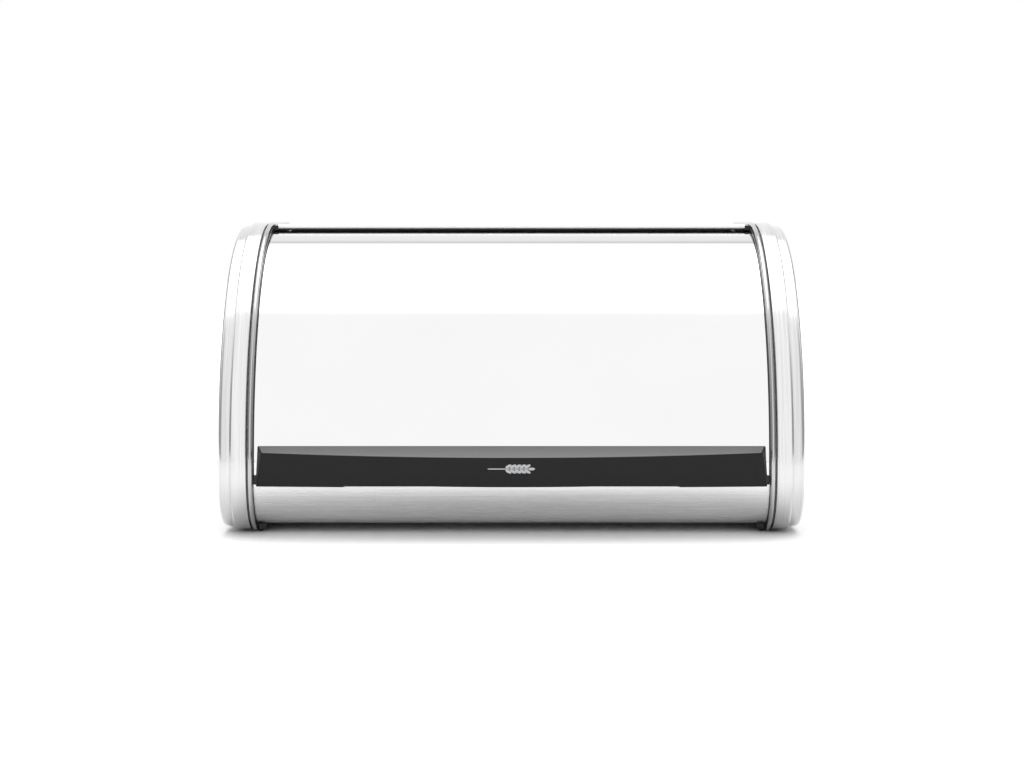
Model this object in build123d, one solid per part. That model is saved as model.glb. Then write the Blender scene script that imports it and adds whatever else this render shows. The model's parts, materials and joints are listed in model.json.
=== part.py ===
"""Bread box with a roll top: a curved steel lid that slides round inside two pressed end caps.

Frame: X runs along the width, -Y is the front, +Z is up.
The origin is on the table, under the middle of the whole outline.
"""
from build123d import *
import os
from math import asin, cos, degrees, radians, sin, sqrt, tan

# ---------------------------------------------------------------- driving dimensions, millimetres
overall_width = 382.4
band_radius = 163.4          # quarter circle of the end caps, from the front face to the top
table_gap = 1.0              # end caps clear the table by this much
lower_radius = 41.1          # curve that tucks the front under
rear_top_radius = 50.0
rear_bottom_radius = 12.0
sheet = 0.8                  # thickness of all steel sheet

outer_band_width = 7.5       # narrow band next to the side face
wide_band_width = 10.4
band_step = 2.6              # the narrow band is this much smaller all round
groove_width = 0.9           # dark groove between the wide band and the bead
bead_diameter = 3.2
bead_proud = 0.6             # the bead stands this much outside the wide band
bead_to_frame = 0.3          # bare edge of the plastic frame beside the bead

frame_inset = 3.2            # plastic frame, measured in from the wide band
frame_wall = 2.6
liner_thickness = 1.2
cap_flange = 24.0

lid_inset = 5.7              # lid surface, measured in from the wide band
lid_side_gap = 0.4
lid_open_angle = 75.0
lid_lower_edge_height = 36.3
lid_rear_edge_angle = 91.5
running_gap = 0.5            # shoe to groove wall

pan_inset = 4.2              # floor and lower front, measured in from the wide band
pan_lip_height = 35.2
top_inset = 1.3
back_inset = 4.0
hem_diameter = 3.0
hem_set_back = 12.0          # centre of the top hem, in front of the curve's centre
hem_end_margin = 3.3         # the hem stops this far short of the frame at each end
hem_corner_depth = 7.0       # and the sheet is cut back this far behind the hem's centre there

handle_top_height = 60.0
handle_bottom_height = 33.6
handle_bulge = 13.3          # how far the middle of the handle stands out from the lid
handle_end_bulge = 6.6
handle_top_slope = 25.0
handle_front_tilt = 10.0
handle_half_length = 168.2
handle_end_draft = 22.0
handle_end_taper = 1.9       # the ends lean in this much from foot to top
handle_edge_rounding = 0.9
handle_rebate_depth = 1.4      # the handle's lower back edge is cut away to pass the floor sheet's lip
handle_rebate_height = 36.4
scoop_length = 220.0
scoop_radius = 5.0
mark_height = 46.2
mark_length = 31.0

foot_height = pan_inset + table_gap
foot_width = 5.0
foot_length = 28.0
foot_cut = 2.8               # chamfer along the foot's inner lower edge
foot_rounding = 1.2

vent_radius = 2.5
vent_pitch = 12.0
vent_start = 70.0            # first column of each group, out from the middle
vent_height = 130.0
vent_columns = 6
vent_rows = 2

pan_bend = 6.0
pan_upstand_height = 28.0
panel_foot_height = 10.0
rivet_height = 20.0
rivet_places = (-120.0, -60.0, 0.0, 60.0, 120.0)

# ---------------------------------------------------------------- derived places
centre_z = table_gap + lower_radius
half_width = overall_width / 2
step_x = half_width - outer_band_width
cap_inner_x = step_x - wide_band_width
bead_outer_x = cap_inner_x - groove_width
bead_x = bead_outer_x - bead_diameter / 2
frame_inner_x = bead_outer_x - bead_diameter - bead_to_frame
liner_inner_x = cap_inner_x - 0.1 - liner_thickness
lid_half_width = frame_inner_x - lid_side_gap
lid_radius = band_radius - lid_inset
lid_inner_radius = lid_radius - sheet
rear_reach = band_radius + bead_proud
centre_y = (lid_radius + handle_bulge - rear_reach) / 2
top_z = centre_z + band_radius

# the groove that the shoes run in, as radii about the curve's centre
groove_outer_radius = band_radius - frame_inset - frame_wall
shoe_outer_radius = groove_outer_radius - running_gap
shoe_inner_radius = lid_inner_radius - 3.0
groove_inner_radius = shoe_inner_radius - running_gap
rail_wall = 2.0
rail_web = 0.8
shoe_tip_x = liner_inner_x - rail_web - 0.3
shoe_root_x = lid_half_width - 18.0

lid_lower_angle = degrees(asin((lid_lower_edge_height - centre_z) / lid_radius))
shoe_start_angle = lid_lower_angle - 0.2
shoe_end_angle = 3.0
rear_shoe_start_angle = 86.5
rear_shoe_end_angle = 89.9
bar_start_angle = 90.2
bar_end_angle = 93.2
stop_angle = 1.0
groove_start_angle = shoe_start_angle - 0.2
groove_end_angle = bar_end_angle + lid_open_angle + 1.5

EPS = 0.1


# ---------------------------------------------------------------- shared shapes
def outline(inset):
    """Side profile of the box, shrunk by inset: front curve, flat top, upright back, tucked-in base."""
    front_r = band_radius - inset
    lower_r = lower_radius - inset
    top_r = rear_top_radius - inset
    bottom_r = max(rear_bottom_radius - inset, 1.0)
    front_y = centre_y - front_r
    rear_y = centre_y + front_r
    top = centre_z + front_r
    bottom = centre_z - lower_r
    edges = [
        CenterArc((centre_y, centre_z), front_r, 90, 90),
        CenterArc((front_y + lower_r, centre_z), lower_r, 180, 90),
        Line((front_y + lower_r, bottom), (rear_y - bottom_r, bottom)),
        CenterArc((rear_y - bottom_r, bottom + bottom_r), bottom_r, 270, 90),
        Line((rear_y, bottom + bottom_r), (rear_y, top - top_r)),
        CenterArc((rear_y - top_r, top - top_r), top_r, 0, 90),
        Line((rear_y - top_r, top), (centre_y, top)),
    ]
    return make_face(edges)


def across(face, x_from, x_to):
    """Extrude a side profile between two places across the width."""
    return extrude(Plane.YZ.offset(x_from) * face, amount=x_to - x_from)


def slab(inset, x_from, x_to):
    return across(outline(inset), x_from, x_to)


def sector(r_inner, r_outer, angle_from, angle_to):
    """Part of a ring about the curve's centre. 0 degrees is the front, 90 the top, 180 the back."""
    start = 180 - angle_to
    sweep_angle = angle_to - angle_from
    arc_out = CenterArc((centre_y, centre_z), r_outer, start, sweep_angle)
    arc_in = CenterArc((centre_y, centre_z), r_inner, start, sweep_angle)
    return make_face([arc_out, arc_in, Line(arc_out @ 0, arc_in @ 0), Line(arc_out @ 1, arc_in @ 1)])


def block(x_from, x_to, y_from, y_to, z_from, z_to):
    return Pos((x_from + x_to) / 2, (y_from + y_to) / 2, (z_from + z_to) / 2) * Box(
        x_to - x_from, y_to - y_from, z_to - z_from
    )


def rod(start, direction, radius, length):
    """Round bar from a start point along a direction."""
    return Plane(origin=start, z_dir=direction) * Cylinder(
        radius, length, align=(Align.CENTER, Align.CENTER, Align.MIN)
    )


def screw(seat, direction, shank_radius=1.5, shank_length=6.0, head_radius=2.9, head_height=1.5):
    """Domed-head screw. The head stands on the seat, the shank goes in along the direction."""
    away = tuple(-c for c in direction)
    head = rod(seat, away, head_radius, head_height)
    rim = head.edges().filter_by(GeomType.CIRCLE).group_by(
        lambda e: sum(c * d for c, d in zip(tuple(e.arc_center), away))
    )[-1]
    head = fillet(rim, head_height * 0.55)
    socket = rod(tuple(s + a * (head_height - 0.7) for s, a in zip(seat, away)), away, 0.9, 1.0)
    return head - socket + rod(seat, direction, shank_radius, shank_length)


def drilled(solid, seats, direction, radius=1.6, length=10.0):
    """Holes through or into a solid, each starting a little above its seat."""
    for seat in seats:
        start = tuple(s - d for s, d in zip(seat, direction))
        solid -= rod(start, direction, radius, length + 1)
    return solid


def mirrored(solid):
    return mirror(solid, about=Plane.YZ)


def at_angle(radius, angle):
    """Y and Z of a point on a circle about the curve's centre."""
    return centre_y - radius * cos(radians(angle)), centre_z + radius * sin(radians(angle))


def radial(angle):
    """Unit direction away from the curve's centre."""
    return (0, -cos(radians(angle)), sin(radians(angle)))


# ---------------------------------------------------------------- fixing points
pan_under_z = table_gap + pan_inset
pan_floor_z = pan_under_z + sheet
back_outer_y = centre_y + band_radius - back_inset
back_inner_y = back_outer_y - sheet
lug_thickness = 4.0
lug_width = 12.0
lug_length = 14.0
lug_hole_radius = 1.6
lug_hole_depth = 3.2
lug_x = frame_inner_x - lug_width / 2
floor_lug_places = (centre_y - 88.0, centre_y + 104.0)
back_lug_height = 56.0
front_foot_y = centre_y - 114.0
rear_foot_y = centre_y + 134.0
foot_x = frame_inner_x - 0.2 - foot_width / 2
foot_screw_radius = 1.1
handle_screw_places = (-140.0, -70.0, 0.0, 70.0, 140.0)
handle_screw_angle = 3.8
cap_screw_angles = (12.0, 46.0, 80.0, 114.0, 148.0)
cap_screw_margin = 6.0
low_cap_screw_lift = 8.0


def cap_screw_seats():
    """Six places on the inner face of a liner, just inside the sliding groove."""
    seats = []
    for angle in cap_screw_angles:
        y, z = at_angle(groove_inner_radius - rail_wall - cap_screw_margin, angle)
        seats.append((liner_inner_x, y, z))
    seats.append((liner_inner_x, centre_y, pan_floor_z + low_cap_screw_lift))
    return seats


# ---------------------------------------------------------------- end assemblies, right-hand side
def end_cap():
    """Pressed steel dish: side face, narrow band, wide band and a flange turned inwards."""
    body = slab(0, cap_inner_x, step_x) + slab(band_step, step_x, half_width)
    face_rim = body.faces().sort_by(Axis.X)[-1].edges()
    body = fillet(face_rim, 2.2)
    step_rim = [e for e in body.faces().filter_by(Plane.YZ).sort_by(Axis.X)[1].outer_wire().edges()]
    body = fillet(step_rim, 0.9)
    hollow = slab(sheet, cap_inner_x + sheet, step_x - sheet)
    hollow += slab(band_step + sheet, step_x - sheet - EPS, half_width - sheet)
    hollow = fillet(hollow.faces().sort_by(Axis.X)[-1].edges(), 1.4)
    mouth = slab(cap_flange, cap_inner_x - 1, cap_inner_x + sheet + EPS)
    cap = body - hollow - mouth
    for seat in cap_screw_seats():
        cap -= rod((cap_inner_x - 1, seat[1], seat[2]), (1, 0, 0), 1.6, 3)
    return cap


def edge_bead():
    """Polished round bead that follows the whole profile beside the wide band."""
    path = (Plane.YZ.offset(bead_x) * outline(bead_diameter / 2 - bead_proud)).faces()[0].outer_wire()
    section = Plane(origin=path @ 0, z_dir=path % 0) * Circle(bead_diameter / 2)
    return sweep(section, path=path)


def side_liner():
    """Flat plastic wall that closes the cap on the bread side."""
    plate = slab(frame_inset, liner_inner_x, liner_inner_x + liner_thickness)
    return drilled(plate, cap_screw_seats(), (1, 0, 0))


def track_frame():
    """Moulded frame: a rim round the whole profile, the lid's sliding groove and three fixing lugs."""
    inside = slab(frame_inset, frame_inner_x, liner_inner_x)
    rim = inside - slab(frame_inset + frame_wall, frame_inner_x - 1, liner_inner_x + 1)
    rail_radius = groove_inner_radius - rail_wall
    rim_radius = groove_outer_radius + frame_wall
    low = groove_start_angle - stop_angle
    high = groove_end_angle + stop_angle
    track = across(sector(rail_radius, rim_radius, low, high), frame_inner_x, liner_inner_x)
    channel = sector(groove_inner_radius, groove_outer_radius, groove_start_angle, groove_end_angle)
    track -= across(channel, frame_inner_x - 1, liner_inner_x - rail_web)
    frame = rim + (track & inside)
    frame -= across(channel, frame_inner_x - 1, liner_inner_x - rail_web)
    for y in floor_lug_places:
        frame += block(
            frame_inner_x - lug_width, frame_inner_x + 1, y - lug_length / 2, y + lug_length / 2,
            pan_floor_z, pan_floor_z + lug_thickness,
        )
        frame = drilled(frame, [(lug_x, y, pan_floor_z)], (0, 0, 1), lug_hole_radius, lug_hole_depth)
    low_z = back_lug_height - lug_length / 2
    high_z = back_lug_height + lug_length / 2
    front_y = back_inner_y - lug_thickness
    frame += block(frame_inner_x - lug_width, frame_inner_x + 1, front_y, back_inner_y, low_z, high_z)
    rim_y = centre_y + groove_outer_radius + 1
    frame += block(frame_inner_x, liner_inner_x, front_y, rim_y, low_z, high_z)
    seat = (lug_x, back_inner_y, back_lug_height)
    return drilled(frame, [seat], (0, -1, 0), lug_hole_radius, lug_hole_depth)


def cap_screws():
    """Six screws through the liner into the cap's flange, as one group."""
    return [screw(seat, (1, 0, 0), shank_length=5.0) for seat in cap_screw_seats()]


def panel_screws():
    """Three screws from outside, through floor and back, into the frame's lugs."""
    screws = [screw((lug_x, y, pan_under_z), (0, 0, 1), shank_length=3.6) for y in floor_lug_places]
    screws.append(screw((lug_x, back_outer_y, back_lug_height), (0, -1, 0), shank_length=3.6))
    return screws


# ---------------------------------------------------------------- fixed sheets
def rivet_seats():
    """Seam rivets along the foot of the back."""
    return [(x, back_outer_y, rivet_height) for x in rivet_places]


def pan_section(radius, depth):
    """Edges of one face of the floor sheet: tucked front, floor, bend and upstand."""
    arc_centre = (centre_y - band_radius + lower_radius, centre_z)
    lip_angle = pan_lip()[2]
    under = centre_z - radius
    rear = back_inner_y - depth
    bend = pan_bend - depth
    front_arc = CenterArc(arc_centre, radius, 180 + lip_angle, 90 - lip_angle)
    floor = Line((arc_centre[0], under), (rear - bend, under))
    corner = CenterArc((rear - bend, under + bend), bend, 270, 90)
    upstand = Line((rear, under + bend), (rear, pan_upstand_height))
    return [front_arc, floor, corner, upstand]


def pan_lip():
    """Y and Z of the lip's rolled hem, and how far below the curve's centre it lies, in degrees."""
    radius = lower_radius - pan_inset
    angle = degrees(asin((centre_z - pan_lip_height + hem_diameter / 2) / radius))
    reach = radius - hem_diameter / 2
    y = centre_y - band_radius + lower_radius - reach * cos(radians(angle))
    return y, centre_z - reach * sin(radians(angle)), angle


def base_pan():
    """Floor sheet: the lower front curls up to a rolled lip, the back edge turns up inside the back."""
    radius = lower_radius - pan_inset
    outer = pan_section(radius, 0)
    inner = pan_section(radius - sheet, sheet)
    ends = [Line(outer[0] @ 0, inner[0] @ 0), Line(outer[3] @ 1, inner[3] @ 1)]
    pan = across(make_face(outer + inner + ends), -frame_inner_x, frame_inner_x)
    hem_y, hem_z, _ = pan_lip()
    tube_radius = hem_diameter / 2
    width = 2 * frame_inner_x
    past_edge = (-frame_inner_x - 1, hem_y, hem_z)
    hem = rod((-frame_inner_x, hem_y, hem_z), (1, 0, 0), tube_radius, width)
    hem -= rod(past_edge, (1, 0, 0), tube_radius - sheet, width + 2)
    pan = pan - rod(past_edge, (1, 0, 0), tube_radius - sheet / 2, width + 2) + hem
    for side in (-1, 1):
        pan = drilled(pan, [(side * lug_x, y, pan_under_z) for y in floor_lug_places], (0, 0, 1), 1.6, 2)
        for y in (front_foot_y, rear_foot_y):
            pan = drilled(pan, [(side * foot_x, y, pan_floor_z)], (0, 0, -1), foot_screw_radius + 0.2, 2)
    return drilled(pan, rivet_seats(), (0, -1, 0), 1.7, 3)


def panel_section(depth):
    """Edges of one face of the back and top sheet: flat top, round corner and upright back."""
    radius = rear_top_radius - back_inset - depth
    crown = top_z - top_inset - depth
    rear = back_outer_y - depth
    return [
        Line((centre_y - hem_set_back, crown), (rear - radius, crown)),
        CenterArc((rear - radius, crown - radius), radius, 0, 90),
        Line((rear, crown - radius), (rear, panel_foot_height)),
    ]


def vent_seats():
    """Two groups of round vents in the back."""
    seats = []
    for side in (-1, 1):
        for column in range(vent_columns):
            for row in range(vent_rows):
                x = side * (vent_start + vent_pitch * column)
                seats.append((x, back_outer_y, vent_height + vent_pitch * row))
    return seats


def back_and_top():
    """One sheet: upright back, round corner and flat top, with a rolled hem along the front edge."""
    top = top_z - top_inset
    front = centre_y - hem_set_back
    outer = panel_section(0)
    inner = panel_section(sheet)
    ends = [Line(outer[0] @ 0, inner[0] @ 0), Line(outer[2] @ 1, inner[2] @ 1)]
    panel = across(make_face(outer + inner + ends), -frame_inner_x, frame_inner_x)
    hem_half = frame_inner_x - hem_end_margin
    for side in (-1, 1):
        corner_x = side * (hem_half + hem_end_margin / 2 + EPS)
        corner = Box(hem_end_margin + 2 * EPS, 2 * hem_corner_depth, 6)
        panel -= Pos(corner_x, front, top) * corner
    hem_z = top - hem_diameter / 2
    panel += rod((-hem_half, front, hem_z), (1, 0, 0), hem_diameter / 2, 2 * hem_half)
    panel -= rod((-hem_half - 1, front, hem_z), (1, 0, 0), hem_diameter / 2 - sheet, 2 * hem_half + 2)
    panel = drilled(panel, rivet_seats(), (0, -1, 0), 1.7, 3)
    for side in (-1, 1):
        panel = drilled(panel, [(side * lug_x, back_outer_y, back_lug_height)], (0, -1, 0), 1.6, 1.5)
    return drilled(panel, vent_seats(), (0, -1, 0), vent_radius, 2)


def seam_rivets():
    """Rivets that hold the back to the floor's upstand, as one group."""
    return [
        screw(seat, (0, -1, 0), shank_radius=1.6, shank_length=2 * sheet, head_radius=3.0, head_height=1.0)
        + rod((seat[0], seat[1] - 2 * sheet, seat[2]), (0, -1, 0), 2.4, 0.8)
        for seat in rivet_seats()
    ]


def wiper_strip():
    """Black strip behind the hem that the lid passes under. Its ends fill the panel's cut corners."""
    lid_clearance = 0.4
    low = centre_z + lid_radius + lid_clearance
    high = top_z - top_inset - sheet
    front = centre_y - hem_set_back + hem_diameter / 2 + EPS
    half = frame_inner_x - 0.2
    hem_half = frame_inner_x - hem_end_margin
    strip = block(-half, half, front, front + 3.0, low, high)
    for side in (-1, 1):
        x_in = side * (hem_half + 0.2)
        x_out = side * half
        strip += block(min(x_in, x_out), max(x_in, x_out), front - 3.0, front + 3.0, low, high - 0.8)
    return strip


def foot(side, y):
    """Moulded foot under a corner of the floor, its inner lower edge cut away."""
    x_out = side * (frame_inner_x - 0.2)
    x_in = x_out - side * foot_width
    body = block(min(x_in, x_out), max(x_in, x_out), y - foot_length / 2, y + foot_length / 2, 0, foot_height)
    inner_edge = body.edges().filter_by(Axis.Y).group_by(Axis.Z)[0].sort_by(Axis.X)
    body = chamfer(inner_edge[0] if side > 0 else inner_edge[-1], foot_cut)
    low_ends = body.edges().filter_by(Axis.X).group_by(Axis.Z)[0]
    body = fillet(low_ends, foot_rounding)
    return drilled(body, [(side * foot_x, y, foot_height)], (0, 0, -1), foot_screw_radius + 0.05, 3.4)


def foot_screws():
    """One screw per foot, driven down from inside the box."""
    return [
        screw((side * foot_x, y, pan_floor_z), (0, 0, -1), foot_screw_radius, 3.8, head_radius=2.1)
        for side in (-1, 1)
        for y in (front_foot_y, rear_foot_y)
    ]


# ---------------------------------------------------------------- the lid and what rides on it
def lid_sheet():
    """Curved sheet with a stiffening fold along its lower edge and a notch at each lower corner."""
    curve = sector(lid_inner_radius, lid_radius, lid_lower_angle, lid_rear_edge_angle)
    lid = across(curve, -lid_half_width, lid_half_width)
    fold_angle = degrees(sheet / lid_radius)
    fold = sector(lid_inner_radius - 5.0, lid_inner_radius + EPS, lid_lower_angle,
                  lid_lower_angle + fold_angle)
    lid += across(fold, -shoe_root_x + 1, shoe_root_x - 1)
    for side in (-1, 1):
        corner = block(
            side * lid_half_width - 3.2, side * lid_half_width + 3.2,
            centre_y - lid_radius - 5, centre_y - lid_radius + 15, 30, 40.6,
        )
        lid -= corner
    for x in handle_screw_places:
        y, z = at_angle(lid_inner_radius, handle_screw_angle)
        lid = drilled(lid, [(x, y, z)], radial(handle_screw_angle), 1.6, 3)
    for seat, direction in rear_rivet_seats():
        lid = drilled(lid, [seat], direction, 1.6, 3)
    return lid


def handle_ridge_z():
    """Height of the handle's front ridge at the middle."""
    return handle_top_height - handle_bulge * tan(radians(handle_top_slope))


def handle_back_y():
    """Where the handle's top meets the lid."""
    return centre_y - sqrt(lid_radius ** 2 - (handle_top_height - centre_z) ** 2)


def bowed_block():
    """Block with a bowed front that leans in at the foot, deeper and longer than the handle."""
    sag = handle_bulge - handle_end_bulge
    bow_radius = (handle_half_length ** 2 + sag ** 2) / (2 * sag)
    lean = tan(radians(handle_front_tilt))
    length = handle_half_length + 5
    middle_y = centre_y - lid_radius - handle_bulge + (handle_ridge_z() - handle_bottom_height) * lean
    edge_y = middle_y + bow_radius - sqrt(bow_radius ** 2 - length ** 2)
    back_y = centre_y - lid_radius + 8
    plan = make_face([
        ThreePointArc((-length, edge_y), (0, middle_y), (length, edge_y)),
        Line((length, edge_y), (length, back_y)),
        Line((length, back_y), (-length, back_y)),
        Line((-length, back_y), (-length, edge_y)),
    ])
    height = handle_top_height - handle_bottom_height
    rise = Vector(0, -lean, 1)
    return extrude(Plane.XY.offset(handle_bottom_height) * plan, amount=height * rise.length, dir=rise)


def above_handle():
    """What the sloping top cuts off the block."""
    slope = tan(radians(handle_top_slope))
    top_y = handle_back_y()
    face = make_face(Polyline(
        (top_y + 20, handle_top_height + 20 * slope), (top_y - 60, handle_top_height - 60 * slope),
        (top_y - 60, handle_top_height + 40), (top_y + 20, handle_top_height + 40), close=True,
    ))
    length = handle_half_length + 6
    return across(face, -length, length)


def beyond_handle(side):
    """What the drafted end cuts off the block on one side."""
    reach = 40.0
    draft = tan(radians(handle_end_draft))
    top_y = handle_back_y()
    end_x = handle_half_length
    height = handle_top_height - handle_bottom_height
    face = make_face(Polyline(
        (side * end_x, top_y), (side * (end_x + 60), top_y + 60), (side * (end_x + 60), top_y - reach),
        (side * (end_x - draft * reach), top_y - reach), close=True,
    ))
    lean_in = Vector(-side * handle_end_taper / height, 0, 1)
    return extrude(Plane.XY.offset(handle_bottom_height - 1) * face, amount=(height + 2) * lean_in.length,
                   dir=lean_in)


def handle_blank():
    """Handle before its pockets: bowed front that leans in at the foot, sloping top, drafted ends."""
    return bowed_block() - above_handle() - beyond_handle(-1) - beyond_handle(1)


def mark_shapes():
    """Ear of wheat lying along the handle: a stalk, five pairs of grains and a tip, drawn flat."""
    stalk_length = mark_length * 0.86
    shapes = Pos(-mark_length / 2 + stalk_length / 2, 0) * SlotOverall(stalk_length, 0.7)
    grain = Ellipse(2.15, 0.95)
    for pair in range(5):
        x = -2.0 + 3.1 * pair
        for side in (-1, 1):
            shapes += Pos(x, side * 1.75) * Rot(0, 0, side * 28) * grain
    shapes += Pos(mark_length / 2 - 2.4, 0) * grain
    return shapes


def mark_blank(depth):
    """The ear of wheat as a plate through the handle's front face."""
    tilt = radians(handle_front_tilt)
    face_y = centre_y - lid_radius - handle_bulge + (handle_ridge_z() - mark_height) * tan(tilt)
    front = Plane(origin=(0, face_y, mark_height), x_dir=(1, 0, 0), z_dir=(0, -cos(tilt), -sin(tilt)))
    return extrude(front * mark_shapes(), amount=depth, both=True)


def lid_handle():
    """Moulded handle: rounded edges, finger scoop beneath, pockets for the front shoes."""
    handle = handle_blank()
    handle -= across(make_face(CenterArc((centre_y, centre_z), lid_radius + 0.05, 0, 360)), -200, 200)
    rebate_angle = degrees(asin((handle_rebate_height - centre_z) / lid_radius))
    rebate = sector(lid_radius - 2, lid_radius + handle_rebate_depth, rebate_angle - 5, rebate_angle)
    handle -= across(rebate, -200, 200)
    ridge = handle.edges().filter_by(lambda e: e.length > 250).sort_by(Axis.Y)
    handle = fillet([ridge[0], ridge[1]], handle_edge_rounding)
    scoop_y = centre_y - lid_radius - 6.0
    scoop_start = (-scoop_length / 2, scoop_y, handle_bottom_height - 3.0)
    scoop = rod(scoop_start, (1, 0, 0), scoop_radius, scoop_length)
    scoop = fillet(scoop.edges(), 3.0)
    handle -= scoop
    for side in (-1, 1):
        x_in = side * (lid_half_width - 3.4)
        x_out = side * (lid_half_width + 5)
        pocket = sector(lid_radius - 2, lid_radius + 1.7, shoe_start_angle - 2, -0.4)
        handle -= across(pocket, min(x_in, x_out), max(x_in, x_out))
    for x in handle_screw_places:
        y, z = at_angle(lid_radius - 0.5, handle_screw_angle)
        handle = drilled(handle, [(x, y, z)], radial(handle_screw_angle), 1.55, 5.4)
    return handle - mark_blank(0.3)


def handle_mark():
    """Pale inlay in the handle's front, standing a hair proud of it."""
    return mark_blank(0.28)


def handle_screws():
    """Screws from inside the lid into the handle, as one group."""
    y, z = at_angle(lid_inner_radius - 0.05, handle_screw_angle)
    return [screw((x, y, z), radial(handle_screw_angle), shank_length=5.6) for x in handle_screw_places]


def front_shoe():
    """Right-hand front shoe: pad behind the lid, corner tab and the tongue in the groove."""
    pad = across(sector(shoe_inner_radius, lid_inner_radius - 0.05, shoe_start_angle, shoe_end_angle),
                 shoe_root_x, lid_half_width)
    tab = across(sector(shoe_inner_radius, lid_radius + 1.5, shoe_start_angle, -0.6),
                 lid_half_width - 3.0, lid_half_width + 0.1)
    tongue = across(sector(shoe_inner_radius, shoe_outer_radius, shoe_start_angle, shoe_end_angle),
                    lid_half_width + 0.05, shoe_tip_x)
    return pad + tab + tongue


def rear_rivet_seats():
    """Where the rear shoes are riveted through the lid, right side then left."""
    angle = 89.0
    y, z = at_angle(lid_radius, angle)
    inward = tuple(-c for c in radial(angle))
    return [((side * (lid_half_width - 10.0), y, z), inward) for side in (1, -1)]


def rear_shoe():
    """Right-hand rear shoe: pad under the lid's rear corner and the tongue in the groove."""
    pad_face = sector(shoe_inner_radius, lid_inner_radius - 0.05, rear_shoe_start_angle, rear_shoe_end_angle)
    pad = across(pad_face, shoe_root_x, lid_half_width + 0.1)
    tongue = across(sector(shoe_inner_radius, shoe_outer_radius, rear_shoe_start_angle, rear_shoe_end_angle),
                    lid_half_width + 0.05, shoe_tip_x)
    seat, direction = rear_rivet_seats()[0]
    return drilled(pad + tongue, [seat], direction, 1.6, 5)


def rear_bar():
    """Stiff bar along the lid's rear edge, slotted to take the sheet."""
    bar = across(sector(shoe_inner_radius + 0.4, lid_radius + 1.8, bar_start_angle, bar_end_angle),
                 -lid_half_width, lid_half_width)
    slot = across(sector(lid_inner_radius - 0.05, lid_radius + 0.05, bar_start_angle - 1,
                         lid_rear_edge_angle + 0.1), -lid_half_width - 1, lid_half_width + 1)
    return bar - slot


def rear_rivets():
    """Rivets through the lid into the rear shoes, as one group."""
    return [
        screw(seat, direction, shank_length=sheet + 3.05, head_radius=2.4, head_height=0.9)
        + rod(tuple(s + d * (sheet + 3.05) for s, d in zip(seat, direction)), direction, 2.2, 0.8)
        for seat, direction in rear_rivet_seats()
    ]


# ---------------------------------------------------------------- write the nodes
def save(name, solids):
    if isinstance(solids, list):
        shape = Compound(children=[s for item in solids for s in item.solids()])
    else:
        shape = solids if len(solids.solids()) > 1 else solids.solids()[0]
    export_step(shape, f"parts/{name}.step")


def save_pair(name, solids):
    """Write the right-hand piece and its mirror image."""
    items = solids if isinstance(solids, list) else [solids]
    save(f"right_{name}", items)
    save(f"left_{name}", [mirrored(item) for item in items])


def main():
    os.makedirs("parts", exist_ok=True)
    save_pair("end_cap", end_cap())
    save_pair("edge_bead", edge_bead())
    save_pair("side_liner", side_liner())
    save_pair("track_frame", track_frame())
    save_pair("cap_screws", cap_screws())
    save_pair("panel_screws", panel_screws())
    save("base_pan", base_pan())
    save("back_and_top_panel", back_and_top())
    save("back_seam_rivets", seam_rivets())
    save("lid_wiper_strip", wiper_strip())
    for row, y in (("front", front_foot_y), ("rear", rear_foot_y)):
        save(f"{row}_left_foot", foot(-1, y))
        save(f"{row}_right_foot", foot(1, y))
    save("foot_screws", foot_screws())
    save("lid_sheet", lid_sheet())
    save("lid_handle", lid_handle())
    save("handle_mark", handle_mark())
    save("handle_screws", handle_screws())
    save_pair("front_shoe", front_shoe())
    save_pair("rear_shoe", rear_shoe())
    save("lid_rear_bar", rear_bar())
    save("rear_shoe_rivets", rear_rivets())


main()
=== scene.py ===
"""Looks for a bread box with a roll-top lid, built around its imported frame.

The box is a bright curved lid that slides round between two pressed, brushed end caps. Each class
below builds one sub-assembly and dresses it; each finish is a small frozen dataclass.
Everything is in metres, +X along the width, -Y to the front and +Z up.
"""

import json
import logging
from contextlib import contextmanager
from dataclasses import dataclass
from enum import Enum
from math import asin, atan2, cos, degrees, pi, radians, sin, sqrt, tan
from typing import Callable, Iterator, Sequence

import bmesh
import bpy
from mathutils import Matrix, Vector


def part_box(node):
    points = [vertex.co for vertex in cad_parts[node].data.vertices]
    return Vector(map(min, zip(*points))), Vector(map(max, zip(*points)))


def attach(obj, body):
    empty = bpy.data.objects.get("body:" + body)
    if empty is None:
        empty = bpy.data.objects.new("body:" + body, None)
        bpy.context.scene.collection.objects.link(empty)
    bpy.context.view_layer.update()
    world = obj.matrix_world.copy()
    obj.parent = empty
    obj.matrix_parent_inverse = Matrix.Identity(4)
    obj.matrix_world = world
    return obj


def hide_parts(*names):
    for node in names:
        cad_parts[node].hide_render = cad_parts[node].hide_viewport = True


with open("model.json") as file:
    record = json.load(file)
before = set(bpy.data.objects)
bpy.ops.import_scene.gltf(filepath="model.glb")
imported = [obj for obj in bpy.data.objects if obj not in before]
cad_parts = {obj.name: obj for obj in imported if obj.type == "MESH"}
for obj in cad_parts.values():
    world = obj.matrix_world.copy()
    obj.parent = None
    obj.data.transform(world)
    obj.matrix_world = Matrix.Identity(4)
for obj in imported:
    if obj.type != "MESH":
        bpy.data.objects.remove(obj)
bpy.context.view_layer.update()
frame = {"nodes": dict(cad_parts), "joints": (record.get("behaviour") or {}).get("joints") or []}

log = logging.getLogger("bread_box")
logging.basicConfig(level=logging.INFO, format="%(name)s: %(message)s")

MM = 0.001
Shape = bpy.types.Object
Socket = bpy.types.NodeSocket
Colour = tuple[float, float, float]


class Side(Enum):
    """The two ends of the box."""

    LEFT = -1
    RIGHT = 1

    @property
    def word(self) -> str:
        """The side's name as the frame writes it."""
        return self.name.lower()


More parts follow.
